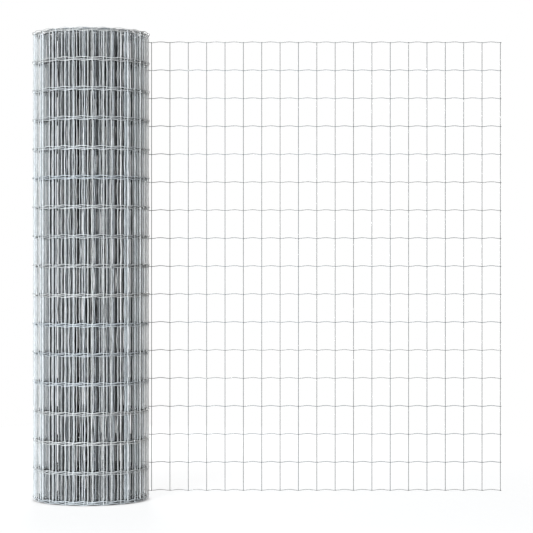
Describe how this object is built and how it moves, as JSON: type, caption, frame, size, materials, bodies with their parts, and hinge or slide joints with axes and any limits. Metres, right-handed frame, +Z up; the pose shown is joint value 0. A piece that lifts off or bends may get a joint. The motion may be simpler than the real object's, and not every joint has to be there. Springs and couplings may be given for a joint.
{
  "type": "roll of wire fencing",
  "caption": "Standing roll of welded galvanised wire fencing with its free end unrolled flat, rectangular mesh of crimped line wires and straight stays",
  "frame": {"origin": "on the roll's axis, at the floor that the roll stands on", "axes": "+Z up along the roll's axis, +X along the unrolled end away from the roll, +Y from the roll's axis to the side where the unrolled end leaves it"},
  "size_m": [1.2559, 0.3088, 1.2312],
  "materials": {
    "galvanised_wire": "dull galvanised zinc"
  },
  "bodies": {
    "root": {"wound_roll": "galvanised_wire", "unrolled_end": "galvanised_wire"}
  },
  "joints": []
}
